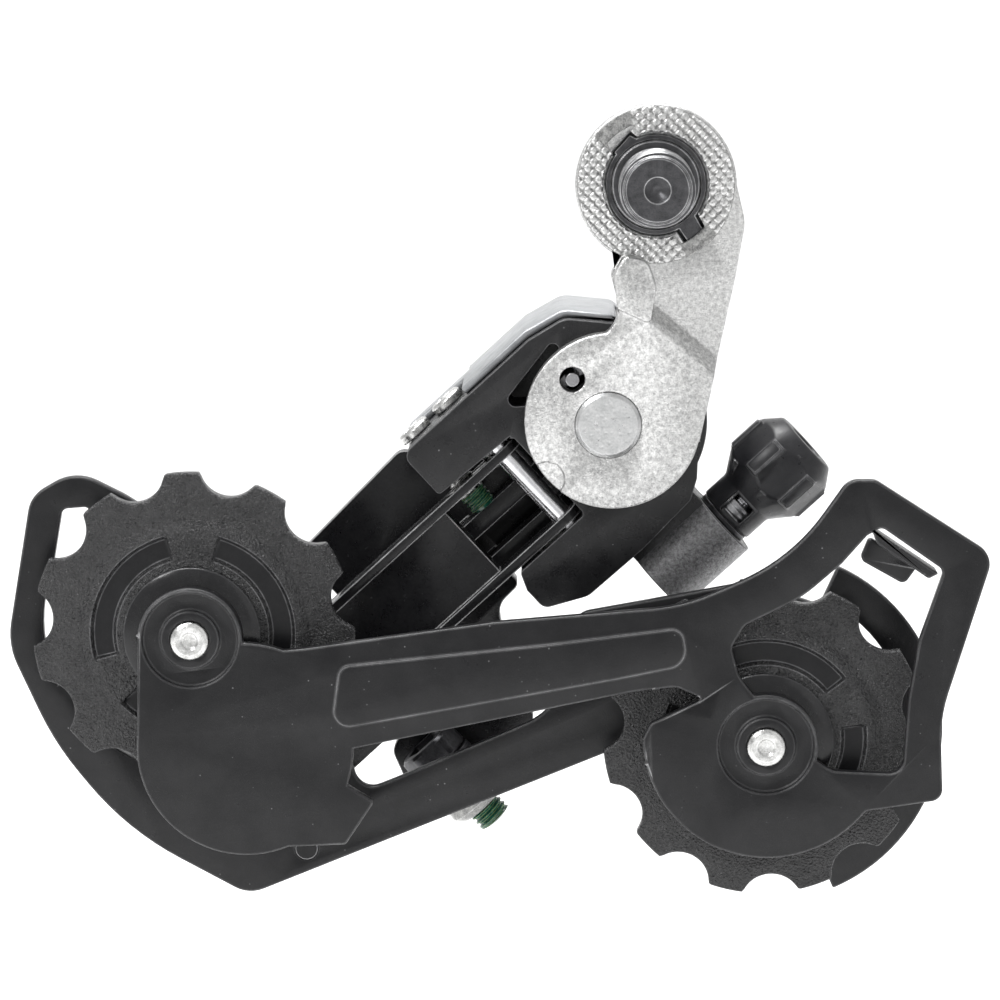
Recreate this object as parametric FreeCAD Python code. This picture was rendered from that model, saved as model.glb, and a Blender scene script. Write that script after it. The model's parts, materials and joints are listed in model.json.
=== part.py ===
import FreeCAD, Part
import math
import os
from FreeCAD import Vector

# Rear bicycle derailleur, in millimetres.
# +X points to the rear of the bicycle, +Z up, -Y towards the wheel.
# The origin is the hanger bolt's axis in the plane where the bracket seats on the frame.

# ---- driving dimensions ---------------------------------------------------------------
HANGER_BOLT_R = 5.0            # M10 fixing bolt
HANGER_HOLE_R = 6.7
BRACKET_T = 3.0                # bracket sheet thickness
JOGGLE = 2.5                   # how far the lower part of the bracket steps towards the wheel

B_PIVOT = (-6.2, -31.8)        # x, z of the bracket-to-body pivot
LINK_DIRECTION = 222.7         # degrees, from the upper pivot towards the cage pivot
LINK_PIN_U = 13.6              # upper link pins, measured from the upper pivot along the links
LINK_LENGTH = 37.4             # pin to pin
P_PIVOT_U = 65.5               # cage pivot, measured the same way
INNER_PIN_Y = 4.0
OUTER_PIN_Y = 15.0
LINK_PIN_R = 1.5

GUIDE = (-61.1, -58.5)         # x, z of the guide pulley
TENSION = (14.6, -72.5)        # x, z of the tension pulley
PULLEY_Y = -9.7                # middle plane of the chain
PULLEY_TEETH = 11
CHAIN_PITCH = 12.7
TOOTH_TIP_R = 21.4
TOOTH_GAP_R = 4.05
GUIDE_PHASE = 93.6             # degrees, one tooth's direction
TENSION_PHASE = 27.6

PLATE_T = 1.6                  # cage plate thickness
INNER_PLATE_Y = -15.8          # wheel-side face of the inner cage plate
OUTER_PLATE_Y = -5.2           # wheel-side face of the outer cage plate
BOSS_DISH = 0.8                # depth of the dished bosses round the pulley bolts
PULLEY_BOLT_R = 2.5
BUSH_R = 3.6

RUNNING = 0.05                 # radial clearance of a shaft that turns in a bore

# ---- derived places -------------------------------------------------------------------
U_DIR = Vector(math.cos(math.radians(LINK_DIRECTION)), 0, math.sin(math.radians(LINK_DIRECTION)))
W_DIR = Vector(-U_DIR.z, 0, U_DIR.x)
Y_DIR = Vector(0, 1, 0)
PITCH_R = CHAIN_PITCH / (2 * math.sin(math.pi / PULLEY_TEETH))
LOWER_PIN_U = LINK_PIN_U + LINK_LENGTH


def link_point(u, w, y=0.0):
    """A point measured from the upper pivot, u along the links and w along their pins."""
    return Vector(B_PIVOT[0], y, B_PIVOT[1]) + U_DIR * u + W_DIR * w


def link_xz(u, w):
    """The same point as x and z."""
    point = link_point(u, w)
    return point.x, point.z


P_PIVOT = link_xz(P_PIVOT_U, 0)


# ---- building helpers -----------------------------------------------------------------
def rod(start, direction, radius, length):
    """A cylinder from a start point along a direction."""
    return Part.makeCylinder(radius, length, start, direction)


def disc(centre, radius, y0, y1):
    """A cylinder about +Y between two depths."""
    return rod(Vector(centre[0], y0, centre[1]), Y_DIR, radius, y1 - y0)


def ring(centre, outer, inner, y0, y1):
    """A flat ring about +Y."""
    return disc(centre, outer, y0, y1).cut(disc(centre, inner, y0 - 1, y1 + 1))


def sleeve(start, direction, outer, inner, length):
    """A tube along any direction."""
    beyond = start - direction * 1.0
    return rod(start, direction, outer, length).cut(rod(beyond, direction, inner, length + 2))


def cone(start, direction, radius0, radius1, length):
    """A truncated cone along any direction."""
    return Part.makeCone(radius0, radius1, length, start, direction)


def rounded_wire(corners, place):
    """A closed wire through corners (a, b, radius), each turned by an arc of that radius."""
    points = [place(c[0], c[1]) for c in corners]
    count = len(points)
    starts = []
    ends = []
    edges = []
    for i, corner in enumerate(points):
        radius = corners[i][2] if len(corners[i]) > 2 else 0.0
        before = (points[i - 1] - corner).normalize()
        after = (points[(i + 1) % count] - corner).normalize()
        half = before.getAngle(after) / 2
        reach = radius / math.tan(half)
        starts.append(corner + before * reach)
        ends.append(corner + after * reach)
        if radius:
            middle = (before + after).normalize()
            top = corner + middle * (radius / math.sin(half) - radius)
            edges.append(Part.Arc(starts[i], top, ends[i]).toShape())
    for i in range(count):
        following = starts[(i + 1) % count]
        if (following - ends[i]).Length > 1e-6:
            edges.append(Part.LineSegment(ends[i], following).toShape())
    return Part.Wire(Part.__sortEdges__(edges))


def plate(corners, y0, y1):
    """A flat plate from (x, z, corner radius) points, between two depths."""
    wire = rounded_wire(corners, lambda x, z: Vector(x, y0, z))
    return Part.Face(wire).extrude(Vector(0, y1 - y0, 0))


def link_plate(corners, y0, y1):
    """A flat plate from (u, w, corner radius) points, between two depths."""
    wire = rounded_wire(corners, lambda u, w: link_point(u, w, y0))
    return Part.Face(wire).extrude(Vector(0, y1 - y0, 0))


def link_bar(corners, w0, w1):
    """A bar whose section is given as (u, y, corner radius) points, from w0 to w1."""
    wire = rounded_wire(corners, lambda u, y: link_point(u, w0, y))
    return Part.Face(wire).extrude(W_DIR * (w1 - w0))


def link_rod(u, y, radius, w0, w1):
    """A round bar along the link pins' direction."""
    return rod(link_point(u, w0, y), W_DIR, radius, w1 - w0)


def lathe(profile, centre):
    """A solid turned about +Y from (radius, y) points."""
    points = [Vector(centre[0] + r, y, centre[1]) for r, y in profile]
    face = Part.Face(Part.makePolygon(points + points[:1]))
    return face.revolve(Vector(centre[0], 0, centre[1]), Y_DIR, 360)


def hex_prism(start, direction, across_flats, length):
    """A hexagonal bar along any direction."""
    side = direction.cross(Vector(0.2, 0.3, 0.9)).normalize()
    other = direction.cross(side)
    radius = across_flats / math.sqrt(3)
    points = []
    for i in range(6):
        turn = math.radians(60 * i)
        points.append(start + side * (radius * math.cos(turn)) + other * (radius * math.sin(turn)))
    return Part.Face(Part.makePolygon(points + points[:1])).extrude(direction * length)


def coil_sleeve(start, direction, mean_radius, wire_radius, turns):
    """Closed windings as one solid: a tube with a round ridge for every turn."""
    side = direction.cross(Vector(0.3, 0.2, 0.9)).normalize()
    bite = wire_radius * 0.6
    pitch = wire_radius * 2
    outer = []
    inner = []
    for i in range(turns):
        low = start + direction * (pitch * i)
        middle = start + direction * (pitch * (i + 0.5))
        high = start + direction * (pitch * (i + 1))
        for sign, chain in ((1, outer), (-1, inner)):
            edge = side * (mean_radius + sign * (wire_radius - bite * 0.5))
            crest = side * (mean_radius + sign * wire_radius)
            chain.append(Part.Arc(low + edge, middle + crest, high + edge).toShape())
    first = Part.LineSegment(inner[0].valueAt(inner[0].FirstParameter),
                             outer[0].valueAt(outer[0].FirstParameter)).toShape()
    last = Part.LineSegment(inner[-1].valueAt(inner[-1].LastParameter),
                            outer[-1].valueAt(outer[-1].LastParameter)).toShape()
    wire = Part.Wire(Part.__sortEdges__(outer + inner + [first, last]))
    return Part.Face(wire).revolve(start, direction, 360)


def fuse(shapes):
    """One clean solid from several that overlap."""
    first = shapes[0]
    return first.fuse(shapes[1:]).removeSplitter()


# ---- bracket --------------------------------------------------------------------------
JOINT_NORMAL = Vector(0.643, 0, 0.766)     # across the step in the bracket sheet
STEP_HIGH = -12.2
STEP_LOW = -14.2
SPRING_HOLE = (-11.0, -25.7)
SHOULDER_R = 5.9


def joggled_sheet():
    """The stepped sheet that the bracket's outline is cut from."""
    along = Vector(-JOINT_NORMAL.z, 0, JOINT_NORMAL.x)
    start = along * -60
    section = [(60, 0), (STEP_HIGH, 0), (STEP_LOW, -JOGGLE), (-60, -JOGGLE),
               (-60, BRACKET_T - JOGGLE), (STEP_LOW, BRACKET_T - JOGGLE), (STEP_HIGH, BRACKET_T),
                   (60, BRACKET_T)]
    points = [start + JOINT_NORMAL * t + Vector(0, y, 0) for t, y in section]
    return Part.Face(Part.makePolygon(points + points[:1])).extrude(along * 120)


def hanger_bracket():
    depth = (-6.0, 6.0)
    neck = [(10.7, 0, 0), (11.9, -5.0, 6), (10.6, -12.5, 12), (6.0, -34.0, 0), (-14.0, -27.0, 0),
            (-5.0, -18.0, 4), (-5.0, -14.6, 1), (-6.0, -11.8, 1), (-4.0, -8.9, 0.8),
            (-6.2, -7.5, 2), (-10.0, -4.0, 4), (-10.7, 0, 0)]
    outline = fuse([
        plate(neck, *depth),
        disc((0, 0), 10.7, *depth),
        disc((-5.6, -31.3), 11.8, *depth),
    ])
    body = outline.common(joggled_sheet())
    stop_tab = plate([(-5.5, -11.6, 0.8), (-4.2, -9.2, 1), (-1.2, -9.6, 2.2), (0.1, -13.4, 3),
                      (-0.7, -18.2, 0.6),
                      (-5.1, -16.2, 0.8)], -JOGGLE - 0.6, 1.0)
    notch = plate([(1.5, -4.2), (4.4, -8.6, 0.4), (7.2, -6.6, 0.4), (4.6, -2.2)], -1.0, BRACKET_T + 1)
    small_notch = plate([(-6.0, 4.0, 0.2), (-3.4, 7.0, 0.2), (-1.4, 5.4), (-3.6, 2.6)], -1.0, BRACKET_T + 1)
    holes = [
        disc((0, 0), HANGER_HOLE_R, -6, 6),
        notch,
        small_notch,
        disc(SPRING_HOLE, 1.65, -6, 6),
        disc(B_PIVOT, 4.4, -6, 6),
        disc((-14.4, -39.2), 2.4, -6, -JOGGLE + 0.6),
    ]
    body = body.fuse(stop_tab).cut(holes)
    return body.removeSplitter()


def bolt_retainer():
    """The black clip ring that keeps the hanger bolt in the bracket, with its two tabs."""
    clip = ring((0, 0), HANGER_HOLE_R - 0.05, SHOULDER_R + 0.1, 0.4, 2.6)
    tab = plate([(2.4, -4.8), (4.6, -8.0, 0.3), (6.6, -6.5, 0.3), (4.9, -3.6)], 0.4, 1.6)
    small_tab = plate([(-5.6, 4.2, 0.2), (-3.5, 6.5, 0.2), (-2.0, 5.8), (-4.2, 3.4)], 0.4, 1.6)
    bolt_space = disc((0, 0), SHOULDER_R + 0.1, -1, 4)
    return fuse([clip, tab, small_tab]).cut(bolt_space)


def hanger_bolt():
    thread = rod(Vector(0, -8.6, 0), Y_DIR, HANGER_BOLT_R, 8.9)
    tip = cone(Vector(0, -9.2, 0), Y_DIR, 4.4, HANGER_BOLT_R, 0.6)
    shoulder = rod(Vector(0, 0.3, 0), Y_DIR, SHOULDER_R, 3.2)
    flange = rod(Vector(0, 3.3, 0), Y_DIR, 9.4, 1.2)
    head = rod(Vector(0, 4.5, 0), Y_DIR, 7.6, 3.6)
    crown = cone(Vector(0, 8.1, 0), Y_DIR, 7.6, 6.8, 0.7)
    socket = hex_prism(Vector(0, 5.0, 0), Y_DIR, 6.0, 5)
    dimple = cone(Vector(0, -9.3, 0), Y_DIR, 1.6, 0.2, 1.1)
    bolt = fuse([thread, tip, shoulder, flange, head, crown])
    return bolt.cut([socket, dimple])


def b_axle():
    """The riveted pivot pin of the bracket, with the groove for its circlip."""
    head = lathe([(0, -JOGGLE - 0.5), (3.9, -JOGGLE - 0.5), (4.4, -JOGGLE - 0.1), (4.4, 0.5),
                  (0, 0.5)], B_PIVOT)
    shank = disc(B_PIVOT, B_AXLE_R, 0.5, 21.2)
    groove = ring(B_PIVOT, B_AXLE_R + 1, 3.3, 20.0, 20.8)
    return fuse([head, shank]).cut(groove)


def b_axle_washer():
    return ring(B_PIVOT, 6.6, B_AXLE_R + RUNNING, 19.2, 20.0)


def b_axle_circlip():
    """An open ring in the pin's groove."""
    clip = ring(B_PIVOT, 5.4, 3.3, 20.0, 20.8)
    mouth = plate([(B_PIVOT[0] - 1.2, B_PIVOT[1]), (B_PIVOT[0] + 1.2, B_PIVOT[1]),
                   (B_PIVOT[0] + 1.2, B_PIVOT[1] - 7), (B_PIVOT[0] - 1.2, B_PIVOT[1] - 7)], 19, 22)
    return clip.cut(mouth)


# ---- upper knuckle --------------------------------------------------------------------
B_AXLE_R = 3.95
B_BUSH_R = 5.0
B_SPRING_R = 7.8
B_SPRING_WIRE = 1.0
CLEVIS_HALF = 7.2              # half the space between the ears for the links
CLEVIS_FLOOR_U = 10.8
BODY_FRONT = 0.8
BODY_BACK = 18.4
SCREW_Y = 9.2
SCREW_R = 1.9
HIGH_SCREW_U = 15.0
LOW_SCREW_U = 21.0
HOUSING_U = 1.1                # how far the adjuster sits along the links from the knuckle's pivot
HOUSING_W = 21.2
HOUSING_Y = 8.0
HOUSING_R = 5.5
CABLE_BORE_R = 2.0


def adjuster_point(u):
    """A place on the adjuster's axis, u mm down from its middle."""
    return link_point(HOUSING_U + u, HOUSING_W, HOUSING_Y)


def b_knuckle_body():
    boss = disc(B_PIVOT, 13.3, BODY_FRONT, BODY_BACK)
    lobe = link_plate([(-9.2, -9.6, 2), (-5.0, -14.2, 3), (0.5, -15.3, 2), (11.0, -15.3), (11.0, 8),
                       (-6.0, 8)],
                      BODY_FRONT, BODY_BACK)
    left_ear = link_plate([(6.0, -15.3), (23.5, -15.3, 1.5), (23.5, -8.0, 0.6), (6.0, -CLEVIS_HALF)],
                          BODY_FRONT, BODY_BACK)
    right_ear = link_plate([(4.0, CLEVIS_HALF), (22.6, CLEVIS_HALF, 0.6), (23.6, 9.6, 0.6), (23.6, 13.0, 1.5),
                            (18.0, 15.8, 3), (8.0, 16.0, 1), (-1.0, 15.4, 1), (-3.6, 13.8, 1),
                            (-6.8, 10.6, 3), (-6.0, 4.0)],
                           BODY_FRONT, BODY_BACK)
    housing = rod(adjuster_point(-2.8), U_DIR, HOUSING_R, 12.0)
    web_top = HOUSING_U - 2.8
    web_end = HOUSING_U + 9.2
    housing_web = link_plate([(web_top, 12, 0), (web_end, 12, 0), (web_end, 20.0, 0), (web_top, 20.0, 0)],
                             4.0, 12.0)
    body = fuse([boss, lobe, left_ear, right_ear, housing, housing_web])
    clevis = link_plate([(CLEVIS_FLOOR_U, -CLEVIS_HALF, 0.6), (30, -CLEVIS_HALF), (30, CLEVIS_HALF),
                         (CLEVIS_FLOOR_U, CLEVIS_HALF, 0.6)], -1, 22)
    spring_room = ring(B_PIVOT, 10.0, 6.2, -1, 15.0)
    pocket = link_plate([(9.4, -11.2, 1), (-2.4, -13.2, 0.8), (-1.5, -10.9, 0.6),
                         (6.6, -8.9, 0.8)], -1, 10.0)
    outer_room = disc(B_PIVOT, 7.2, BODY_BACK - 0.6, BODY_BACK + 1)
    holes = [
        clevis,
        spring_room,
        pocket,
        outer_room,
        disc(B_PIVOT, B_BUSH_R, -1, 22),
        link_rod(LINK_PIN_U, INNER_PIN_Y, LINK_PIN_R, -13.6, 12.6),
        link_rod(LINK_PIN_U, OUTER_PIN_Y, LINK_PIN_R, -13.6, 12.6),
        link_rod(HIGH_SCREW_U, SCREW_Y, SCREW_R + RUNNING, -20, -6),
        link_rod(LOW_SCREW_U, SCREW_Y, SCREW_R + RUNNING, -20, -6),
        rod(adjuster_point(-8.0), U_DIR, STUD_R + RUNNING, 14.5),
        rod(adjuster_point(-8.0), U_DIR, CABLE_BORE_R, 20.0),
    ]
    return body.cut(holes).removeSplitter()


def knuckle_cover():
    """The silver shell over the outboard side and the top edge of the upper knuckle."""
    outline = [(-10.0, -10.0, 2), (-5.4, -15.1, 3.2), (0.3, -16.4, 2), (22.8, -16.4, 1.2), (22.8, -14.0),
               (22.8, 11.0, 1.5), (14.0, 13.4, 6), (-2.0, 13.4, 6), (-11.5, 5.0, 8)]
    shell = link_plate(outline, 3.4, 22.2)
    core = link_plate([(-13.8, -13.8), (-10.0, -9.3, 0), (-4.9, -14.25, 3.0), (0.5, -15.35, 2),
                       (26, -15.35),
                       (26, 20), (-13.8, 20)], 3.0, BODY_BACK + 0.05)
    boss_room = disc(B_PIVOT, 13.35, 3.0, BODY_BACK + 0.05)
    pin_room = disc(B_PIVOT, 7.2, 18, 23)
    link_room = link_plate([(11.0, -CLEVIS_HALF, 1), (30, -CLEVIS_HALF), (30, CLEVIS_HALF),
                            (11.0, CLEVIS_HALF, 1)],
                           14, 23)
    screw_slot = link_plate([(HIGH_SCREW_U - 3.2, -18), (LOW_SCREW_U + 3.6, -18), (LOW_SCREW_U + 3.6, -15),
                             (HIGH_SCREW_U - 3.2, -15)], 3, 14)
    web_room = link_plate([(11.0, -20), (30, -20), (30, 20), (11.0, 20)], BODY_BACK + 0.05, 24)
    return shell.cut([core, boss_room, pin_room, link_room, screw_slot, web_room]).removeSplitter()


def b_pivot_cap():
    """The round dust cap over the outboard end of the upper pivot."""
    skirt = ring(B_PIVOT, 7.15, 6.7, 18.0, 22.0)
    top = lathe([(0, 22.0), (7.15, 22.0), (7.15, 22.4), (6.6, 23.1), (5.2, 23.4), (0, 23.4)], B_PIVOT)
    return fuse([skirt, top])


def b_bushing():
    return ring(B_PIVOT, B_BUSH_R, B_AXLE_R + RUNNING, 0.9, 19.1)


def b_spring():
    """The upper pivot's torsion spring, with the end that hooks into the bracket."""
    start = Vector(B_PIVOT[0], 2.0, B_PIVOT[1])
    windings = coil_sleeve(start, Y_DIR, B_SPRING_R, B_SPRING_WIRE, 6)
    tang = disc(SPRING_HOLE, 0.9, -JOGGLE - 0.3, 3.4)
    return fuse([windings, tang])


def link_pin(u, y):
    return link_rod(u, y, LINK_PIN_R, -13.6, 12.6)


def lower_link_pin(y):
    return link_rod(LOWER_PIN_U, y, LINK_PIN_R, -11.4, 11.4)


def limit_screw(u, tip_w):
    """A cross-slotted limit screw, its head standing out of the left ear."""
    head_w = -16.7
    shank = link_rod(u, SCREW_Y, SCREW_R, -15.3, tip_w - 0.5)
    tip = cone(link_point(u, tip_w - 0.5, SCREW_Y), W_DIR, SCREW_R, 1.3, 0.5)
    head = link_rod(u, SCREW_Y, 2.4, head_w + 0.4, -15.4)
    crown = cone(link_point(u, head_w, SCREW_Y), W_DIR, 1.9, 2.4, 0.4)
    slots = []
    for along, across in ((U_DIR, Y_DIR), (Y_DIR, U_DIR)):
        corner = link_point(u, head_w - 0.1, SCREW_Y) - along * 1.7 - across * 0.35
        points = [corner, corner + along * 3.4, corner + along * 3.4 + across * 0.7, corner + across * 0.7]
        slots.append(Part.Face(Part.makePolygon(points + points[:1])).extrude(W_DIR * 1.2))
    neck = link_rod(u, SCREW_Y, SCREW_R, -15.5, -15.2)
    return fuse([shank, tip, head, crown, neck]).cut(slots)


# ---- cable adjuster -------------------------------------------------------------------
STUD_R = 2.5
KNOB_NECK_R = 4.2
KNOB_R = 6.5
HOUSING_SEAT_R = 2.6           # socket for the end of the cable's outer casing


def detent_washer():
    """The notched washer that clicks as the adjuster turns."""
    return sleeve(adjuster_point(-3.5), U_DIR, 4.0, STUD_R + RUNNING, 0.6)


def adjuster_stud():
    """The threaded stem, bored for the cable."""
    stem = rod(adjuster_point(-14.0), U_DIR, STUD_R, 19.0)
    collar = rod(adjuster_point(-16.4), U_DIR, 3.1, 2.6)
    socket = rod(adjuster_point(-18.5), U_DIR, HOUSING_SEAT_R, 4.0)
    return fuse([stem, collar]).cut([rod(adjuster_point(-20), U_DIR, 1.0, 30), socket])


def adjuster_knob():
    """The six-sided knob: a neck, a flare and a tapered end with a raised rib on each side."""
    neck = rod(adjuster_point(-7.4), U_DIR, KNOB_NECK_R, 3.8)
    flare = cone(adjuster_point(-10.6), U_DIR, KNOB_R, KNOB_NECK_R, 3.2)
    barrel = rod(adjuster_point(-16.0), U_DIR, KNOB_R, 5.4)
    taper = cone(adjuster_point(-18.4), U_DIR, KNOB_NECK_R + 0.4, KNOB_R, 2.4)
    round_body = fuse([neck, flare, barrel, taper])
    body = round_body.common(hex_prism(adjuster_point(-19), U_DIR, 2 * KNOB_R - 0.9, 17))
    ribs = []
    for i in range(6):
        turn = math.radians(60 * i)
        side = W_DIR * math.cos(turn) + Y_DIR * math.sin(turn)
        across = Y_DIR * math.cos(turn) - W_DIR * math.sin(turn)
        corner = adjuster_point(-15.6) + side * 4.6 - across * 0.9
        points = [corner, corner + across * 1.8, corner + across * 1.8 + side * 2.2, corner + side * 2.2]
        ribs.append(Part.Face(Part.makePolygon(points + points[:1])).extrude(U_DIR * 4.8))
    stud_room = [
        rod(adjuster_point(-14.0), U_DIR, STUD_R, 12),
        rod(adjuster_point(-16.4), U_DIR, 3.1, 2.6),
        rod(adjuster_point(-19), U_DIR, HOUSING_SEAT_R, 6),
        rod(adjuster_point(-6.4), U_DIR, 3.6, 4.0),
    ]
    slot_top = HOUSING_U - 7.2
    slot_end = HOUSING_U - 4.4
    slot = link_bar([(slot_top, HOUSING_Y - 6, 0), (slot_end, HOUSING_Y - 6, 0), (slot_end, HOUSING_Y, 0),
                     (slot_top, HOUSING_Y, 0)],
                    HOUSING_W - 1.6, HOUSING_W + 1.6)
    return fuse([body] + ribs).cut(stud_room + [slot])


def adjuster_spring():
    return coil_sleeve(adjuster_point(-6.3), U_DIR, 3.1, 0.45, 3)


# ---- links ----------------------------------------------------------------------------
EYE_R = 2.5
LINK_HALF = 6.8                # half the width of a link between the ears


def link_eye_bar(y, w0, w1, back=0.0):
    """A straight bar from pin to pin, round at both ends, optionally deepened outboard."""
    ends = [link_rod(LINK_PIN_U, y, EYE_R, w0, w1), link_rod(LOWER_PIN_U, y, EYE_R, w0, w1)]
    middle = link_bar([(LINK_PIN_U, y - EYE_R), (LOWER_PIN_U, y - EYE_R),
                       (LOWER_PIN_U, y + EYE_R), (LINK_PIN_U, y + EYE_R)], w0, w1)
    if back:
        ends.append(link_bar([(25.0, y), (46.0, y), (46.0, back), (25.0, back)], w0, w1))
    return fuse(ends + [middle])


def pin_holes(y):
    return [link_rod(u, y, LINK_PIN_R + RUNNING, -20, 20) for u in (LINK_PIN_U, LOWER_PIN_U)]


def inner_link():
    """A channel: two side walls with the pins through their ends,
        and a web with an open window above it."""
    walls = [link_eye_bar(INNER_PIN_Y, -LINK_HALF, -LINK_HALF + 1.3),
             link_eye_bar(INNER_PIN_Y, LINK_HALF - 1.3, LINK_HALF)]
    web = link_bar([(24.8, 3.0), (47.6, 3.0), (47.6, 4.8), (24.8, 4.8)], -LINK_HALF + 1, LINK_HALF - 1)
    lip = link_bar([(24.8, 3.0, 0), (26.2, 3.0, 0), (26.2, 6.4, 0),
                    (24.8, 6.4, 0)], -LINK_HALF + 1, LINK_HALF - 1)
    return fuse(walls + [web, lip]).cut(pin_holes(INNER_PIN_Y))


CLAMP_U = 50.5
CLAMP_Y = 13.0
CLAMP_R = 2.5
ARM_W0 = 23.8
ARM_W1 = 26.4


def outer_link():
    """The outboard cover link, with two lugs inside the ears and the arm for the cable clamp."""
    cover = link_plate([(24.6, -14.6, 2), (46.2, -13.4, 2), (46.2, 9.0, 1), (24.6, 8.6, 2)], 19.2, 21.2)
    tongue = link_plate([(11.6, -LINK_HALF, 1), (26.0, -LINK_HALF), (26.0, LINK_HALF),
                         (11.6, LINK_HALF, 1)],
                        19.2, 21.2)
    lugs = [link_eye_bar(OUTER_PIN_Y, -1.3, 1.2, 19.6), link_eye_bar(OUTER_PIN_Y, 4.4, LINK_HALF, 19.6)]
    bridge = link_plate([(26.0, 6.0), (26.0, 10.5, 1), (30.3, 10.7, 3), (34.5, 17.0, 6), (37.5, ARM_W1, 2),
                         (55.0, ARM_W1, 2), (57.2, 21.0, 2), (55.5, 16.0, 2), (47.5, 12.6, 2), (46.2, 6.0)],
                        17.6, 21.2)
    arm = link_bar([(46.0, 8.8, 2), (55.0, 8.8, 2), (55.0, 21.2, 1.5), (46.0, 21.2, 1.5)], ARM_W0, ARM_W1)
    link = fuse([cover, tongue] + lugs + [bridge, arm])
    bolt_hole = link_rod(CLAMP_U, CLAMP_Y, CLAMP_R + RUNNING, 15, 30)
    return link.cut(pin_holes(OUTER_PIN_Y) + [bolt_hole]).removeSplitter()


def return_spring():
    """The spring round the outer link's upper pin that pulls the cage outboard."""
    return coil_sleeve(link_point(LINK_PIN_U, 1.35, OUTER_PIN_Y), W_DIR, 2.15, 0.5, 3)


def clamp_washer():
    washer = link_rod(CLAMP_U, CLAMP_Y, 4.6, ARM_W0 - 2.7, ARM_W0 - 1.3)
    return washer.cut(link_rod(CLAMP_U, CLAMP_Y, CLAMP_R + RUNNING, 10, 30))


def clamp_bolt():
    """The cable clamp bolt, its threaded end standing out beyond the nut."""
    shank = link_rod(CLAMP_U, CLAMP_Y, CLAMP_R, ARM_W0 - 3.0, ARM_W1 + 5.4)
    tip = cone(link_point(CLAMP_U, ARM_W1 + 5.4, CLAMP_Y), W_DIR, CLAMP_R, 2.1, 0.5)
    head = hex_prism(link_point(CLAMP_U, ARM_W0 - 6.3, CLAMP_Y), W_DIR, 8.0, 3.5)
    socket = hex_prism(link_point(CLAMP_U, ARM_W0 - 6.5, CLAMP_Y), W_DIR, 5.0, 2.4)
    return fuse([shank, tip, head]).cut(socket)


def clamp_nut():
    """The round silver nut plate pressed into the clamp arm."""
    body = link_rod(CLAMP_U, CLAMP_Y, 4.4, ARM_W1, ARM_W1 + 2.2)
    nose = cone(link_point(CLAMP_U, ARM_W1 + 2.2, CLAMP_Y), W_DIR, 4.4, 3.4, 0.9)
    return fuse([body, nose]).cut(link_rod(CLAMP_U, CLAMP_Y, CLAMP_R + RUNNING, 20, 32))


# ---- lower knuckle --------------------------------------------------------------------
P_AXLE_R = 3.95
P_BUSH_R = 5.0
P_SPRING_R = 7.9
STOP_PIN_RADIUS = 15.2
STOP_PIN_ANGLE = -60.0
KNUCKLE_FRONT = -3.0


def around_p(radius, angle):
    turn = math.radians(angle)
    return P_PIVOT[0] + radius * math.cos(turn), P_PIVOT[1] + radius * math.sin(turn)


def p_knuckle_body():
    housing = disc(P_PIVOT, 13.0, KNUCKLE_FRONT, 14.4)
    lugs = link_plate([(48.2, -11.6, 2), (48.2, 11.6, 2), (62.0, 11.6), (62.0, -11.6)], -1.0, 18.2)
    shoulder = disc(P_PIVOT, 13.0, 14.0, 14.6)
    lug_points = [around_p(11.0, -53.0), around_p(17.4, -53.4), around_p(17.4, -40.0), around_p(11.0,
                                                                                                -38.0)]
    stop_lug = plate([(x, z, 0) for x, z in lug_points], KNUCKLE_FRONT, 2.4)
    body = fuse([housing, lugs, shoulder, stop_lug])
    slot = link_plate([(40, -CLEVIS_HALF), (54.0, -CLEVIS_HALF, 0.8), (54.0, CLEVIS_HALF, 0.8),
                       (40, CLEVIS_HALF)],
                      -4, 20)
    cut = [
        slot,
        ring(P_PIVOT, 10.2, 6.2, KNUCKLE_FRONT - 1, 11.6),
        disc(P_PIVOT, 10.6, 13.2, 20),
        disc(P_PIVOT, P_BUSH_R, -4, 20),
        link_rod(LOWER_PIN_U, INNER_PIN_Y, LINK_PIN_R, -11.4, 11.4),
        link_rod(LOWER_PIN_U, OUTER_PIN_Y, LINK_PIN_R, -11.4, 11.4),
    ]
    return body.cut(cut).removeSplitter()


def p_bushing():
    return ring(P_PIVOT, P_BUSH_R, P_AXLE_R + RUNNING, KNUCKLE_FRONT, 13.1)


def p_spring():
    """The cage spring, with the end that hooks into the outer cage plate."""
    start = Vector(P_PIVOT[0], -1.6, P_PIVOT[1])
    windings = coil_sleeve(start, Y_DIR, P_SPRING_R, B_SPRING_WIRE, 6)
    tang = disc(around_p(P_SPRING_R, 200), 0.9, OUTER_PLATE_Y + PLATE_T, -0.6)
    return fuse([windings, tang])


def p_circlip():
    clip = ring(P_PIVOT, 5.6, 3.3, 14.0, 14.8)
    mouth = plate([(P_PIVOT[0] - 1.2, P_PIVOT[1]), (P_PIVOT[0] + 1.2, P_PIVOT[1]),
                   (P_PIVOT[0] + 1.2, P_PIVOT[1] - 7), (P_PIVOT[0] - 1.2, P_PIVOT[1] - 7)], 13, 16)
    return clip.cut(mouth)


def p_cap():
    """The round cap that closes the outboard end of the cage spring's housing."""
    skirt = ring(P_PIVOT, 10.55, 9.9, 13.3, 15.4)
    top = lathe([(0, 15.4), (10.55, 15.4), (10.55, 16.0), (9.6, 16.8), (7.0, 17.2), (0, 17.2)], P_PIVOT)
    return fuse([skirt, top])


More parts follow.
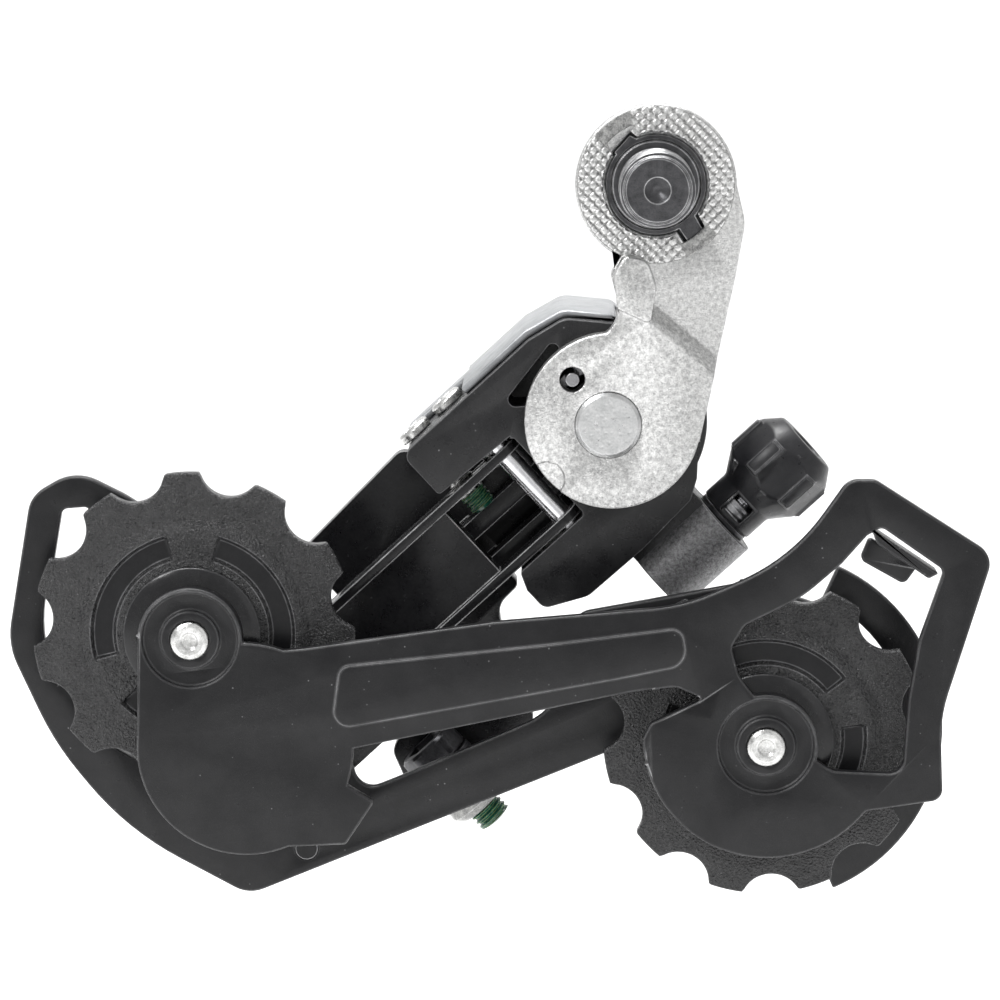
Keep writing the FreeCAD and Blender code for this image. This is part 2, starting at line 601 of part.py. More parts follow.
# ---- cage -----------------------------------------------------------------------------
def sector(centre, outer, inner, angle0, angle1, y0, y1):
    """Part of a ring between two directions in degrees, under 170 apart."""
    points = [Vector(centre[0], y0, centre[1])]
    steps = 4
    for i in range(steps + 1):
        turn = math.radians(angle0 + (angle1 - angle0) * i / steps)
        reach = outer * 1.6
        points.append(Vector(centre[0] + reach * math.cos(turn), y0, centre[1] + reach * math.sin(turn)))
    wedge = Part.Face(Part.makePolygon(points + points[:1])).extrude(Vector(0, y1 - y0, 0))
    return wedge.common(ring(centre, outer, inner, y0, y1))


def dished_boss(sheet, centre, y0, collar):
    """Press a round boss into a plate, towards the pulley, and drill it for the bolt."""
    y1 = y0 + PLATE_T
    inward = BOSS_DISH if y0 < PULLEY_Y else -BOSS_DISH
    if inward > 0:
        room = disc(centre, 6.3, y0 - 1, y0 + inward)
        floor = disc(centre, 6.9, y0 + inward, y1 + inward)
        lip = disc(centre, 3.9, y0, y0 + inward)
    else:
        room = disc(centre, 6.3, y1 + inward, y1 + 1)
        floor = disc(centre, 6.9, y0 + inward, y1 + inward)
        lip = disc(centre, 3.9, y1 + inward, y1)
    shape = sheet.cut(room).fuse(floor)
    if collar:
        shape = shape.fuse(lip)
    return shape.cut(disc(centre, PULLEY_BOLT_R, -20, 0)).removeSplitter()


def cage_inner_plate():
    y0 = INNER_PLATE_Y
    y1 = y0 + PLATE_T
    outline = [
        (-68.0, -58.0), (-55.0, -58.0), (-53.9, -60.4, 1.2), (-46.0, -59.6, 20), (-21.3, -56.0),
            (3.5, -53.8, 25),
        (17.6, -47.6, 26), (24.9, -37.0, 2.6), (28.4, -37.0, 2.0), (43.9, -46.9, 2.8), (37.4, -68.5, 20),
        (37.9, -79.6, 1.6), (27.6, -81.2, 3), (22.0, -82.0), (4.0, -76.0), (-1.2, -75.0),
            (-0.9, -69.6, 1.2),
        (5.8, -65.9, 0.5), (2.6, -64.3, 2.5), (-3.4, -65.3, 8), (-42.2, -73.5, 0.6), (-43.4, -75.3, 1.2),
        (-41.6, -77.4, 1.6), (-37.0, -80.2, 0.5), (-40.8, -86.0, 0.6), (-50.0, -86.4), (-67.0, -76.0), (-68.2, -72.0),
    ]
    sheet = fuse([plate(outline, y0, y1), disc(GUIDE, 6.9, y0, y1), disc((14.8, -71.2), 16.4, y0, y1),
                  disc((-54.0, -73.2), 14.3, y0, y1)])
    window = plate([
        (24.2, -48.0), (27.4, -44.3, 0.8), (29.3, -43.2, 1.0), (37.5, -48.9, 1.2), (34.5, -58.0, 2),
        (33.2, -66.0), (32.6, -76.2, 2.0), (23.4, -75.8, 3), (19.0, -73.0), (14.6, -72.4), (13.4, -66.4),
        (10.9, -63.0, 3), (9.9, -59.2, 1.6), (11.6, -56.3, 1.6), (19.2, -52.4, 15)], y0 - 1, y1 + 1)
    notch = plate([(-3.4, -63.2), (3.0, -63.2), (6.1, -66.2, 0.4), (-0.6, -69.5, 0.8), (-2.6, -73.5)], y0 - 1, y1 + 1)
    arm = plate([(-10.0, -60.0), (20.0, -56.0), (5.8, -65.9, 0.5), (2.6, -64.5, 2.5), (-3.4, -65.4, 8), (-10.0, -66.8)],
                y0, y1)
    sheet = sheet.cut([window.cut(disc(TENSION, 6.9, y0 - 2, y1 + 2)), notch.cut(arm)])
    panel = plate([(-42.6, -70.4, 2), (-41.4, -61.9, 1.6), (-14.2, -58.9, 40), (3.4, -56.6, 1.6),
                   (4.2, -61.5, 2.5),
                   (-5.0, -63.4, 30)], y0 - 0.45, y0 + 0.2)
    tab_web = plate([(28.0, -43.4), (36.8, -49.3), (35.5, -50.0, 0.5), (28.7, -45.4, 0.5)], y0, y1 + 2.6)
    tab = plate([(27.9, -45.0, 0.5), (34.2, -49.0, 0.5), (32.6, -51.3, 0.9), (26.7, -48.0, 0.9)],
                y1 + 1.2, y1 + 2.6)
    sheet = fuse([sheet, panel, tab_web, tab])
    sheet = dished_boss(sheet, GUIDE, y0, True)
    return dished_boss(sheet, TENSION, y0, True)


def cage_outer_plate():
    y0 = OUTER_PLATE_Y
    y1 = y0 + PLATE_T
    outline = [
        (-77.2, -37.7, 6.0), (-83.2, -41.2, 4.2), (-86.7, -61.4, 10), (-80.6, -75.0, 40), (-71.0, -87.0, 40),
        (-54.6, -95.9, 4.5), (-27.2, -84.4, 40), (-6.0, -75.8), (4.0, -78.0), (14.0, -60.0), (12.4, -52.6),
        (-10.6, -56.9, 3), (-13.0, -70.2, 8), (-34.5, -79.6), (-39.4, -81.6, 2.5), (-43.6, -66.0, 8),
        (-48.0, -54.0, 6), (-62.0, -46.5, 8), (-70.6, -41.0, 10),
    ]
    hub_disc = disc(TENSION, 18.4, y0, y1)
    guard = sector(TENSION, 24.2, 0.5, -66, 66, y0, y1)
    sheet = fuse([plate(outline, y0, y1), hub_disc, guard])
    cuts = [
        sector(GUIDE, 20.7, 16.0, 128, 204, y0 - 1, y1 + 1),
        sector(GUIDE, 20.4, 16.0, 235, 249, y0 - 1, y1 + 1),
        plate([(-75.4, -42.6, 0.8), (-79.0, -42.9, 1.0), (-80.4, -51.0), (-74.0, -50.0)], y0 - 1, y1 + 1),
        sector(TENSION, 19.3, 14.5, 22, 60, y0 - 1, y1 + 1),
        disc(P_PIVOT, P_AXLE_R, y0 - 1, y1 + 1),
        disc(around_p(STOP_PIN_RADIUS, STOP_PIN_ANGLE), 1.5, y0 - 1, y1 + 1),
    ]
    sheet = sheet.cut(cuts)
    sheet = dished_boss(sheet, GUIDE, y0, False)
    return dished_boss(sheet, TENSION, y0, False)


def p_axle():
    """The cage's pivot pin, riveted into the outer plate."""
    y0 = OUTER_PLATE_Y
    head = lathe([(0, y0 - 0.9), (4.4, y0 - 0.9), (5.0, y0 - 0.4), (5.0, y0), (0, y0)], P_PIVOT)
    shank = disc(P_PIVOT, P_AXLE_R, y0, 15.2)
    return fuse([head, shank]).cut(ring(P_PIVOT, 6, 3.3, 14.0, 14.8))


def cage_stop_pin():
    return disc(around_p(STOP_PIN_RADIUS, STOP_PIN_ANGLE), 1.5, OUTER_PLATE_Y, 1.8)


def pulley_bolt(centre):
    """An M5 bolt through both cage plates, with a low round head outboard."""
    back = OUTER_PLATE_Y + PLATE_T - BOSS_DISH
    shank = disc(centre, PULLEY_BOLT_R, INNER_PLATE_Y - 0.3, back)
    tip = cone(Vector(centre[0], INNER_PLATE_Y - 0.7, centre[1]), Y_DIR, 2.1, PULLEY_BOLT_R, 0.4)
    head = lathe([(0, back), (4.3, back), (4.3, back + 1.3), (3.8, back + 1.9), (0, back + 1.9)], centre)
    socket = hex_prism(Vector(centre[0], back + 0.2, centre[1]), Y_DIR, 3.0, 3)
    return fuse([shank, tip, head]).cut(socket)


def pulley_bush(centre):
    front = INNER_PLATE_Y + BOSS_DISH + PLATE_T
    return ring(centre, BUSH_R, PULLEY_BOLT_R, front, 2 * PULLEY_Y - front)


def dust_cap(centre, side):
    """A dished steel cap beside the pulley's hub, on the wheel side (-1) or outboard (+1)."""
    profile = [(BUSH_R, 3.65), (7.6, 3.65), (9.1, 3.1), (9.1, 2.5), (8.6, 2.5), (8.4, 2.8), (7.3, 3.05),
               (BUSH_R, 3.05)]
    return lathe([(r, PULLEY_Y + side * h) for r, h in profile], centre)


def pulley(centre, phase):
    """A toothed chain pulley with three recessed pads on each face."""
    half = [(BUSH_R + RUNNING, 2.3), (9.3, 2.3), (9.8, 2.0), (13.9, 2.0), (16.7, 1.45), (19.0, 1.3),
            (TOOTH_TIP_R, 0.9)]
    profile = [(r, PULLEY_Y - h) for r, h in half] + [(r, PULLEY_Y + h) for r, h in reversed(half)]
    shape = lathe(profile, centre)
    cuts = []
    for i in range(PULLEY_TEETH):
        turn = math.radians(phase + (i + 0.5) * 360 / PULLEY_TEETH)
        reach = PITCH_R + 0.2
        gap = (centre[0] + reach * math.cos(turn), centre[1] + reach * math.sin(turn))
        cuts.append(disc(gap, TOOTH_GAP_R, PULLEY_Y - 4, PULLEY_Y + 4))
    for i in range(3):
        start = phase + 10 + 120 * i
        cuts.append(sector(centre, 13.7, 10.2, start, start + 92, PULLEY_Y - 4, PULLEY_Y - 1.3))
        cuts.append(sector(centre, 13.7, 10.2, start, start + 92, PULLEY_Y + 1.3, PULLEY_Y + 4))
    return shape.cut(cuts)


# ---- export ---------------------------------------------------------------------------
def model():
    """Every node's name and shape."""
    nodes = {
        "hanger_bracket": hanger_bracket(),
        "bolt_retainer": bolt_retainer(),
        "hanger_bolt": hanger_bolt(),
        "b_axle": b_axle(),
        "b_axle_washer": b_axle_washer(),
        "b_axle_circlip": b_axle_circlip(),
        "b_knuckle_body": b_knuckle_body(),
        "knuckle_cover": knuckle_cover(),
        "b_pivot_cap": b_pivot_cap(),
        "b_bushing": b_bushing(),
        "b_spring": b_spring(),
        "inner_link_upper_pin": link_pin(LINK_PIN_U, INNER_PIN_Y),
        "outer_link_upper_pin": link_pin(LINK_PIN_U, OUTER_PIN_Y),
        "inner_link_lower_pin": lower_link_pin(INNER_PIN_Y),
        "outer_link_lower_pin": lower_link_pin(OUTER_PIN_Y),
        "high_limit_screw": limit_screw(HIGH_SCREW_U, -4.6),
        "low_limit_screw": limit_screw(LOW_SCREW_U, -1.7),
        "detent_washer": detent_washer(),
        "adjuster_stud": adjuster_stud(),
        "adjuster_knob": adjuster_knob(),
        "adjuster_spring": adjuster_spring(),
        "inner_link": inner_link(),
        "outer_link": outer_link(),
        "return_spring": return_spring(),
        "clamp_washer": clamp_washer(),
        "clamp_bolt": clamp_bolt(),
        "clamp_nut": clamp_nut(),
        "p_knuckle_body": p_knuckle_body(),
        "p_bushing": p_bushing(),
        "p_spring": p_spring(),
        "p_circlip": p_circlip(),
        "p_cap": p_cap(),
        "cage_inner_plate": cage_inner_plate(),
        "cage_outer_plate": cage_outer_plate(),
        "p_axle": p_axle(),
        "cage_stop_pin": cage_stop_pin(),
    }
    for name, centre, phase in (("guide", GUIDE, GUIDE_PHASE), ("tension", TENSION, TENSION_PHASE)):
        nodes[name + "_pulley"] = pulley(centre, phase)
        nodes[name + "_pulley_bolt"] = pulley_bolt(centre)
        nodes[name + "_pulley_bush"] = pulley_bush(centre)
        nodes[name + "_cap_inner"] = dust_cap(centre, -1)
        nodes[name + "_cap_outer"] = dust_cap(centre, 1)
    return nodes


os.makedirs("parts", exist_ok=True)
for node, shape in model().items():
    shape.exportStep("parts/" + node + ".step")
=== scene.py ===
import json
import math
import bpy
from mathutils import Matrix, Vector


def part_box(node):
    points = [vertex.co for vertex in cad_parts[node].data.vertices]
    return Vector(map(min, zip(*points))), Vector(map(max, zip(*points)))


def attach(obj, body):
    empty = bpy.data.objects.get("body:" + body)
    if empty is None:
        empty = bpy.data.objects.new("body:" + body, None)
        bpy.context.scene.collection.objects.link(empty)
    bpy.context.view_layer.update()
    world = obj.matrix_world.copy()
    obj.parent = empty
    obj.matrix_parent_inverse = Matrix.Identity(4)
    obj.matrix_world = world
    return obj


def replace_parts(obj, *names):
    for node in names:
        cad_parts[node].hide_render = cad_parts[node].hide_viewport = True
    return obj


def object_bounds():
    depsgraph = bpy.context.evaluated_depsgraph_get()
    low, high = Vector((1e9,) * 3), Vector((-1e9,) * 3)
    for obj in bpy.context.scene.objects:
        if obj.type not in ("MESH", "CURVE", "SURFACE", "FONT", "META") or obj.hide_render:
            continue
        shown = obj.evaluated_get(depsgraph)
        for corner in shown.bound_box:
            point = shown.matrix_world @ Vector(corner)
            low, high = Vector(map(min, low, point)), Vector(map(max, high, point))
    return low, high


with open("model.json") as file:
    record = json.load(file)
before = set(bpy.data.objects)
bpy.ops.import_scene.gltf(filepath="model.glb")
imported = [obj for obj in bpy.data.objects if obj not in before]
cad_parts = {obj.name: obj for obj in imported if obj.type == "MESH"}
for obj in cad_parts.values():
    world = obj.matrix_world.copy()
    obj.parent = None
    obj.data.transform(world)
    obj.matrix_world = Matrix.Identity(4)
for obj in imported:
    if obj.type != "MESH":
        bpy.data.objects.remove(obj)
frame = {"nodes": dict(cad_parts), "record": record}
NODES = frame["nodes"]
CAD_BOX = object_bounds()
RECORD = frame["record"]
JOINTS = {joint["name"]: joint for joint in RECORD["behaviour"]["joints"]}
SLOT_OF = {part["node"]: part["material_slot"] for part in RECORD["subparts"]}
BODY_OF = {node: body for body, nodes in RECORD["behaviour"]["bodies"].items() for node in nodes}
MM = 0.001
Y_DIR = Vector((0, 1, 0))


# ---- materials ------------------------------------------------------------------------
class Tree:
    """A small helper that adds and links shader nodes."""

    def __init__(self, name):
        self.material = bpy.data.materials.new(name)
        self.material.use_nodes = True
        self.nodes = self.material.node_tree.nodes
        self.links = self.material.node_tree.links
        self.shader = self.nodes["Principled BSDF"]
        self.where = self.add("ShaderNodeTexCoord").outputs["Object"]

    def add(self, kind, **values):
        node = self.nodes.new(kind)
        for key, value in values.items():
            setattr(node, key, value)
        return node

    def link(self, source, target):
        self.links.new(source, target)

    def noise(self, size_mm, detail):
        """Cloudy noise whose features are about size_mm across."""
        texture = self.add("ShaderNodeTexNoise")
        texture.inputs["Scale"].default_value = 1.0 / (size_mm * MM)
        texture.inputs["Detail"].default_value = detail
        texture.inputs["Roughness"].default_value = 0.6
        self.link(self.where, texture.inputs["Vector"])
        return texture.outputs["Fac"]

    def cells(self, size_mm):
        """Distance to the nearest of many scattered points, for pits and grains."""
        texture = self.add("ShaderNodeTexVoronoi")
        texture.inputs["Scale"].default_value = 1.0 / (size_mm * MM)
        self.link(self.where, texture.inputs["Vector"])
        return texture.outputs["Distance"]

    def spread(self, value, low, high, start=0.3, stop=0.7):
        """Maps start..stop of a value to low..high, without going past them."""
        node = self.add("ShaderNodeMapRange")
        node.inputs["From Min"].default_value = start
        node.inputs["From Max"].default_value = stop
        node.inputs["To Min"].default_value = low
        node.inputs["To Max"].default_value = high
        self.link(value, node.inputs["Value"])
        return node.outputs["Result"]

    def math(self, operation, first, second):
        node = self.add("ShaderNodeMath", operation=operation)
        for socket, value in zip(node.inputs, (first, second)):
            if isinstance(value, (int, float)):
                socket.default_value = value
            else:
                self.link(value, socket)
        return node.outputs["Value"]

    def mix(self, factor, first, second):
        """A colour between two colours, each a socket or a fixed value."""
        node = self.add("ShaderNodeMix", data_type="RGBA")
        self.link(factor, node.inputs["Factor"])
        for socket, value in ((node.inputs[6], first), (node.inputs[7], second)):
            if isinstance(value, tuple):
                socket.default_value = (*value, 1.0)
            else:
                self.link(value, socket)
        return node.outputs[2]

    def rounded(self, radius_mm):
        """The surface direction with its edges rounded over a radius."""
        bevel = self.add("ShaderNodeBevel", samples=6)
        bevel.inputs["Radius"].default_value = radius_mm * MM
        return bevel.outputs["Normal"]

    def edges(self, radius_mm):
        """1 on sharp edges and 0 on flats."""
        dot = self.add("ShaderNodeVectorMath", operation="DOT_PRODUCT")
        self.link(self.rounded(radius_mm), dot.inputs[0])
        self.link(self.add("ShaderNodeNewGeometry").outputs["Normal"], dot.inputs[1])
        return self.spread(dot.outputs["Value"], 1.0, 0.0, 0.955, 0.999)

    def bump(self, height, depth_mm, normal=None):
        node = self.add("ShaderNodeBump")
        node.inputs["Strength"].default_value = 1.0
        node.inputs["Distance"].default_value = depth_mm * MM
        self.link(height, node.inputs["Height"])
        if normal:
            self.link(normal, node.inputs["Normal"])
        return node.outputs["Normal"]


def finish(name, dark, light, metallic, rough, grain_mm, grain_depth, patch_mm, pit_mm=0.0, pit_depth=0.0,
           edge=None, edge_amount=0.0, edge_mm=0.25, specular=0.5, coat=0.0, speck_mm=0.0):
    """A worn surface: patchy colour, uneven gloss, grain, pits, specks, and pale edges that are partly
    rubbed wear and partly painted highlight.
    """
    tree = Tree(name)
    patches = tree.noise(patch_mm, 4.0)
    grain = tree.noise(grain_mm, 2.0)
    cloudy = tree.math("ADD", tree.math("MULTIPLY", patches, 0.6), tree.math("MULTIPLY", grain, 0.4))
    colour = tree.mix(tree.spread(cloudy, 0.0, 1.0, 0.35, 0.65), dark, light)
    normal = tree.bump(grain, grain_depth, tree.rounded(edge_mm))
    if pit_mm:
        pits = tree.spread(tree.cells(pit_mm), 0.0, 1.0, 0.05, 0.35)
        normal = tree.bump(pits, pit_depth, normal)
    if edge:
        # Pale colour on the edges: partly paint or plating rubbed off, partly a painted highlight along each
        # edge.
        rubbed_and_highlit = tree.math("MULTIPLY", tree.edges(edge_mm), tree.spread(patches, 0.35, 1.0))
        colour = tree.mix(tree.math("MULTIPLY", rubbed_and_highlit, edge_amount), colour, edge)
    if speck_mm:
        specks = tree.spread(tree.cells(speck_mm), 0.6, 0.0, 0.035, 0.07)
        in_patches = tree.math("MULTIPLY", specks, tree.spread(patches, 0.0, 1.0, 0.45, 0.6))
        colour = tree.mix(in_patches, colour, PAINT_WEAR_DUST_AND_HIGHLIGHT)
    gloss = tree.spread(tree.noise(patch_mm * 0.6, 5.0), rough[0], rough[1])
    tree.link(colour, tree.shader.inputs["Base Color"])
    tree.link(gloss, tree.shader.inputs["Roughness"])
    tree.link(normal, tree.shader.inputs["Normal"])
    tree.shader.inputs["Metallic"].default_value = metallic
    tree.shader.inputs["Specular IOR Level"].default_value = specular
    tree.shader.inputs["Coat Weight"].default_value = coat
    tree.shader.inputs["Coat Roughness"].default_value = 0.2
    return tree.material


# Colours for the edges: where paint or plating has rubbed off, and a painted highlight along the edge. The
# grey one also colours dust specks.
STEEL_WEAR_AND_HIGHLIGHT = (0.75, 0.75, 0.76)
PAINT_WEAR_DUST_AND_HIGHLIGHT = (0.34, 0.34, 0.35)
MATERIALS = {
    "nickel_plated_steel": finish(
        "nickel_plate", (0.36, 0.36, 0.36), (0.82, 0.82, 0.81), metallic=1.0, rough=(0.26, 0.42),
        grain_mm=0.20, grain_depth=0.05, patch_mm=0.55, pit_mm=0.45, pit_depth=0.03,
        edge=(0.95, 0.95, 0.95), edge_amount=0.8),
    "black_bolt_steel": finish(
        "black_oxide", (0.045, 0.045, 0.048), (0.11, 0.11, 0.115), metallic=0.8, rough=(0.28, 0.44),
        grain_mm=0.12, grain_depth=0.015, patch_mm=1.5, pit_mm=0.6, pit_depth=0.01,
        edge=(0.85, 0.85, 0.86), edge_amount=0.9),
    "rivet_steel": finish(
        "rivet_plate", (0.48, 0.49, 0.49), (0.70, 0.70, 0.70), metallic=1.0, rough=(0.26, 0.40),
        grain_mm=0.3, grain_depth=0.02, patch_mm=1.5, pit_mm=0.9, pit_depth=0.02,
        edge=STEEL_WEAR_AND_HIGHLIGHT, edge_amount=0.5),
    "black_resin": finish(
        "cast_black", (0.008, 0.008, 0.009), (0.020, 0.020, 0.021), metallic=0.0, rough=(0.22, 0.38),
        grain_mm=0.16, grain_depth=0.022, patch_mm=3.0, pit_mm=0.45, pit_depth=0.012,
        edge=PAINT_WEAR_DUST_AND_HIGHLIGHT, edge_amount=0.6, specular=0.36, speck_mm=1.8),
    "silver_paint": finish(
        "silver_paint", (0.26, 0.27, 0.28), (0.42, 0.43, 0.44), metallic=0.75, rough=(0.32, 0.45),
        grain_mm=0.10, grain_depth=0.008, patch_mm=3.0,
        edge=STEEL_WEAR_AND_HIGHLIGHT, edge_amount=0.6, coat=0.2),
    "black_cap": finish(
        "gloss_cap", (0.008, 0.008, 0.009), (0.014, 0.014, 0.015), metallic=0.0, rough=(0.16, 0.28),
        grain_mm=0.5, grain_depth=0.01, patch_mm=3.0,
        edge=PAINT_WEAR_DUST_AND_HIGHLIGHT, edge_amount=0.4),
    "bronze": finish(
        "sintered_bronze", (0.32, 0.19, 0.08), (0.55, 0.36, 0.16), metallic=1.0, rough=(0.35, 0.5),
        grain_mm=0.15, grain_depth=0.02, patch_mm=1.5, pit_mm=0.3, pit_depth=0.02,
        edge=(0.8, 0.6, 0.35), edge_amount=0.4),
    "spring_steel": finish(
        "spring_steel", (0.20, 0.20, 0.21), (0.42, 0.42, 0.43), metallic=1.0, rough=(0.25, 0.4),
        grain_mm=0.2, grain_depth=0.01, patch_mm=1.5,
        edge=STEEL_WEAR_AND_HIGHLIGHT, edge_amount=0.4),
    "polished_pin": finish(
        "ground_pin", (0.70, 0.70, 0.72), (0.88, 0.88, 0.90), metallic=1.0, rough=(0.14, 0.26),
        grain_mm=0.4, grain_depth=0.004, patch_mm=2.0,
        edge=(0.95, 0.95, 0.96), edge_amount=0.5),
    "zinc_screw": finish(
        "zinc_plate", (0.40, 0.40, 0.39), (0.80, 0.80, 0.79), metallic=1.0, rough=(0.20, 0.36),
        grain_mm=0.15, grain_depth=0.012, patch_mm=0.9, pit_mm=0.5, pit_depth=0.01,
        edge=(0.95, 0.95, 0.95), edge_amount=0.7),
    "clamp_steel": finish(
        "clamp_zinc", (0.12, 0.12, 0.12), (0.32, 0.32, 0.31), metallic=1.0, rough=(0.22, 0.40),
        grain_mm=0.2, grain_depth=0.015, patch_mm=1.0, pit_mm=0.6, pit_depth=0.01,
        edge=(0.95, 0.95, 0.95), edge_amount=0.6),
    "knob_plastic": finish(
        "knob_plastic", (0.010, 0.010, 0.012), (0.022, 0.022, 0.024), metallic=0.0, rough=(0.26, 0.40),
        grain_mm=0.12, grain_depth=0.018, patch_mm=2.0,
        edge=PAINT_WEAR_DUST_AND_HIGHLIGHT, edge_amount=0.6, specular=0.36),
    # Its pale edge colour is a painted highlight along the edges.
    "black_painted_link": finish(
        "link_paint", (0.006, 0.006, 0.007), (0.014, 0.014, 0.015), metallic=0.0, rough=(0.16, 0.28),
        grain_mm=0.35, grain_depth=0.012, patch_mm=3.0,
        edge=(0.85, 0.85, 0.86), edge_amount=1.0, specular=0.3),
    # Its pale edge colour is a painted highlight along the plate edges.
    "black_painted_cage": finish(
        "cage_paint", (0.007, 0.007, 0.008), (0.016, 0.016, 0.017), metallic=0.0, rough=(0.27, 0.39),
        grain_mm=0.14, grain_depth=0.022, patch_mm=5.0, pit_mm=0.4, pit_depth=0.010,
        edge=(0.55, 0.55, 0.56), edge_amount=1.0, specular=0.28, speck_mm=1.6),
    "bush_steel": finish(
        "bush_steel", (0.30, 0.30, 0.30), (0.55, 0.55, 0.55), metallic=1.0, rough=(0.3, 0.45),
        grain_mm=0.15, grain_depth=0.01, patch_mm=1.5,
        edge=STEEL_WEAR_AND_HIGHLIGHT, edge_amount=0.4),
    "cap_steel": finish(
        "dust_cap_paint", (0.006, 0.006, 0.007), (0.013, 0.013, 0.014), metallic=0.0, rough=(0.14, 0.26),
        grain_mm=0.4, grain_depth=0.008, patch_mm=2.0,
        edge=(0.55, 0.55, 0.56), edge_amount=0.8, specular=0.4),
    "pulley_plastic": finish(
        "glass_filled_resin", (0.007, 0.007, 0.008), (0.026, 0.026, 0.027), metallic=0.0, rough=(0.16, 0.30),
        grain_mm=0.34, grain_depth=0.40, patch_mm=2.0, pit_mm=0.5, pit_depth=0.10,
        edge=PAINT_WEAR_DUST_AND_HIGHLIGHT, edge_amount=0.6, specular=0.50, speck_mm=1.1),
    "pulley_pad": finish(
        "smooth_pad", (0.004, 0.004, 0.005), (0.010, 0.010, 0.011), metallic=0.0, rough=(0.30, 0.42),
        grain_mm=0.3, grain_depth=0.02, patch_mm=2.0,
        edge=PAINT_WEAR_DUST_AND_HIGHLIGHT, edge_amount=0.6, specular=0.25),
    "blasted_barrel": finish(
        "blasted_barrel", (0.08, 0.08, 0.083), (0.30, 0.30, 0.305), metallic=0.5, rough=(0.34, 0.50),
        grain_mm=0.22, grain_depth=0.09, patch_mm=0.5, pit_mm=0.35, pit_depth=0.05,
        edge=(0.5, 0.5, 0.51), edge_amount=0.6),
    # A darker colour for the knurl's grooves: painted shade.
    "knurl_groove_painted_shade": finish(
        "knurl_groove_painted_shade", (0.16, 0.16, 0.16), (0.50, 0.50, 0.49), metallic=0.9, rough=(0.40, 0.55),
        grain_mm=0.2, grain_depth=0.02, patch_mm=0.8,
        edge=(0.6, 0.6, 0.6), edge_amount=0.3),
    "dark_washer": finish(
        "dark_washer", (0.02, 0.02, 0.022), (0.06, 0.06, 0.065), metallic=0.7, rough=(0.30, 0.45),
        grain_mm=0.2, grain_depth=0.01, patch_mm=1.0,
        edge=(0.35, 0.35, 0.36), edge_amount=0.5),
    # The yellow on the coat's edges is partly the coat's own yellow and partly a painted highlight.
    "thread_lock": finish(
        "thread_lock", (0.004, 0.036, 0.024), (0.016, 0.110, 0.070), metallic=0.0, rough=(0.15, 0.32),
        grain_mm=0.25, grain_depth=0.03, patch_mm=0.9, pit_mm=0.4, pit_depth=0.03,
        edge=(0.50, 0.58, 0.14), edge_amount=0.4, edge_mm=0.15),
}
# Washers whose slot is plain steel, but which look dark.
DARK_WASHERS = ("detent_washer", "clamp_washer")


# ---- mesh helpers ---------------------------------------------------------------------
def add_piece(name, mesh, node, material=None, smooth=35):
    """Puts a mesh in the scene as the visible stand-in of a node, or as a detail on it."""
    piece = bpy.data.objects.new(name, mesh)
    bpy.context.scene.collection.objects.link(piece)
    piece.data.materials.clear()
    piece.data.materials.append(MATERIALS[material or SLOT_OF[node]])
    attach(piece, BODY_OF[node])
    shade(piece, smooth)
    return piece


def shade(piece, angle):
    """Smooth shading that keeps edges sharper than the angle."""
    mesh = piece.data
    mesh.polygons.foreach_set("use_smooth", [True] * len(mesh.polygons))
    mesh.set_sharp_from_angle(angle=math.radians(angle))


def turns(segments):
    return [2 * math.pi * i / segments for i in range(segments)]


def smooth_step(value, low, high):
    t = min(1.0, max(0.0, (value - low) / (high - low)))
    return t * t * (3 - 2 * t)


def turned_mesh(name, start, axis, rows, segments=96):
    """A closed solid about an axis. Each row is (distance, radius or a function of the angle), in mm."""
    axis = axis.normalized()
    side = axis.orthogonal().normalized()
    if abs(axis.dot(Y_DIR)) > 0.9:
        side = Vector((1, 0, 0))
    other = axis.cross(side)
    points = []
    for along, radius in rows:
        for turn in turns(segments):
            reach = radius(turn) if callable(radius) else radius
            spoke = side * (reach * math.cos(turn)) + other * (reach * math.sin(turn))
            points.append(start + (axis * along + spoke) * MM)
    faces = []
    for row in range(len(rows) - 1):
        for i in range(segments):
            j = (i + 1) % segments
            low = row * segments
            high = low + segments
            faces.append((low + i, low + j, high + j, high + i))
    faces.append(tuple(reversed(range(segments))))
    faces.append(tuple(range((len(rows) - 1) * segments, len(rows) * segments)))
    mesh = bpy.data.meshes.new(name)
    mesh.from_pydata(points, [], faces)
    mesh.validate()
    return mesh


ROWS_PER_PITCH = 8
CREST = 0.12


def thread_rows(start, stop, radius, pitch, depth):
    """Rows of a screw thread, each a radius that follows the helix and fades near both ends."""
    steps = max(ROWS_PER_PITCH, int(abs(stop - start) / pitch * ROWS_PER_PITCH))
    rows = []
    for k in range(steps + 1):
        along = start + (stop - start) * k / steps
        fade = min(1.0, (min(k, steps - k) / ROWS_PER_PITCH + 0.15) / 0.8)

        def reach(turn, along=along, fade=fade):
            place = (along / pitch - turn / (2 * math.pi)) % 1.0
            flank = min(1.0, max(0.0, (abs(2 * place - 1) - CREST) / (1 - 2 * CREST)))
            return radius - depth * flank * fade

        rows.append((along, reach))
    return rows


def hexagon(across, corner=None):
    """The radius of a hexagon at an angle, its corners cut at a circle where one is given."""
    def reach(turn):
        local = (turn + math.pi / 6) % (math.pi / 3) - math.pi / 6
        flat = across / 2 / math.cos(local)
        return min(flat, corner) if corner else flat
    return reach


def cross_slot(length, width):
    """The radius of a plus-shaped slot at an angle."""
    def reach(turn):
        local = abs((turn + math.pi / 4) % (math.pi / 2) - math.pi / 4)
        return min(length / math.cos(local), width / max(math.sin(local), 1e-6))
    return reach


def joint_place(name):
    return Vector(JOINTS[name]["pos_m"])


